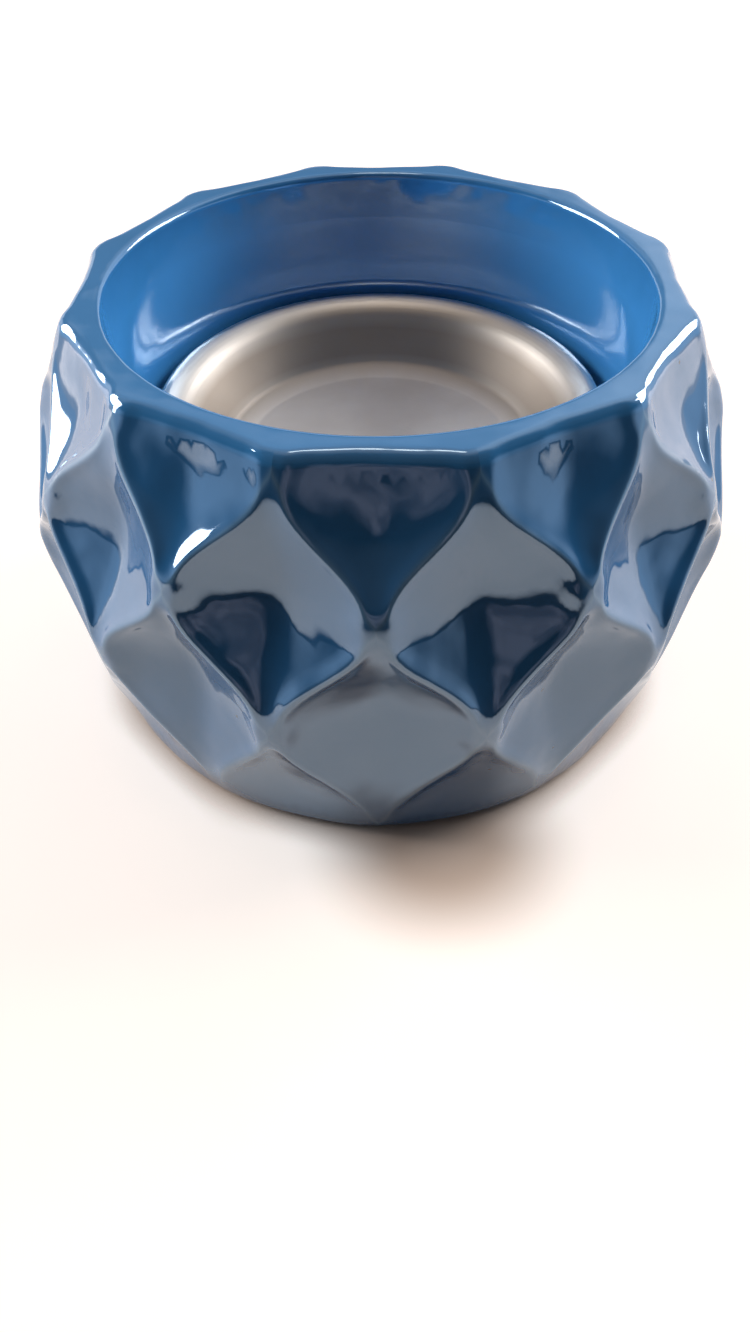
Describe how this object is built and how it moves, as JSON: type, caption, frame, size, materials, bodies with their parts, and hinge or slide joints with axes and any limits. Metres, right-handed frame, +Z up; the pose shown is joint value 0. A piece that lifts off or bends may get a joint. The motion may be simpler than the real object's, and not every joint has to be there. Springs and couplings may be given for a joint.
{
  "type": "wax melt warmer",
  "caption": "Squat blue-glazed ceramic wax warmer with concave diamond facets, a round well and a lift-out satin steel wax pan over an electric hot plate.",
  "frame": {"origin": "centre of the footprint, at the bottom of the rubber feet", "axes": "+Z up out of the well, -Y towards the viewer of the picture, +Y towards the cord gland at the back"},
  "size_m": [0.1288, 0.1288, 0.0793],
  "materials": {
    "blue_glaze": "gloss blue glaze, thinner and paler on the ridges",
    "satin_steel": "satin pressed stainless steel",
    "sheet_steel": "plain sheet steel",
    "cast_aluminium": "machined casting",
    "zinc_screw": "zinc plated",
    "brass_screw": "bare brass",
    "copper_strip": "tinned copper alloy strip",
    "alumina": "unglazed",
    "ptc_ceramic": "metallised faces",
    "fibre_felt": "needled glass fibre",
    "fuse_case": "bare can",
    "silicone": "matt silicone",
    "black_rubber": "matt",
    "black_phenolic": "fine texture",
    "cream_phenolic": "moulded",
    "sleeve_brown": "glass fibre sleeve",
    "sleeve_blue": "glass fibre sleeve"
  },
  "bodies": {
    "warmer": {"ceramic_body": "blue_glaze", "ledge_gasket": "silicone", "heater_cup": "sheet_steel", "hot_plate": "cast_aluminium", "insulator_upper": "alumina", "electrode_upper": "copper_strip", "ptc_stones": "ptc_ceramic", "electrode_lower": "copper_strip", "insulator_lower": "alumina", "clamp_bridge": "sheet_steel", "clamp_screws": "zinc_screw", "plate_spacers": "zinc_screw", "plate_screws": "zinc_screw", "insulation_pad": "fibre_felt", "thermal_fuse": "fuse_case", "fuse_clip": "sheet_steel", "fuse_clip_screw": "zinc_screw", "lead_grommet": "silicone", "lead_live": "sleeve_brown", "lead_fuse": "sleeve_brown", "lead_neutral": "sleeve_blue", "tie_pillars": "zinc_screw", "pillar_screws": "zinc_screw", "base_plate": "black_phenolic", "base_gasket": "silicone", "base_screws": "zinc_screw", "rubber_feet": "black_rubber", "cord_gland": "black_phenolic", "gland_nut": "black_phenolic", "terminal_block": "cream_phenolic", "terminal_screws": "brass_screw", "block_screw": "zinc_screw"},
    "pan": {"wax_pan": "satin_steel"}
  },
  "joints": [
    {"name": "pan_lift", "type": "slide", "parent": "warmer", "child": "pan", "axis": [0, 0, 1], "range_m": [0, 0.045]}
  ]
}
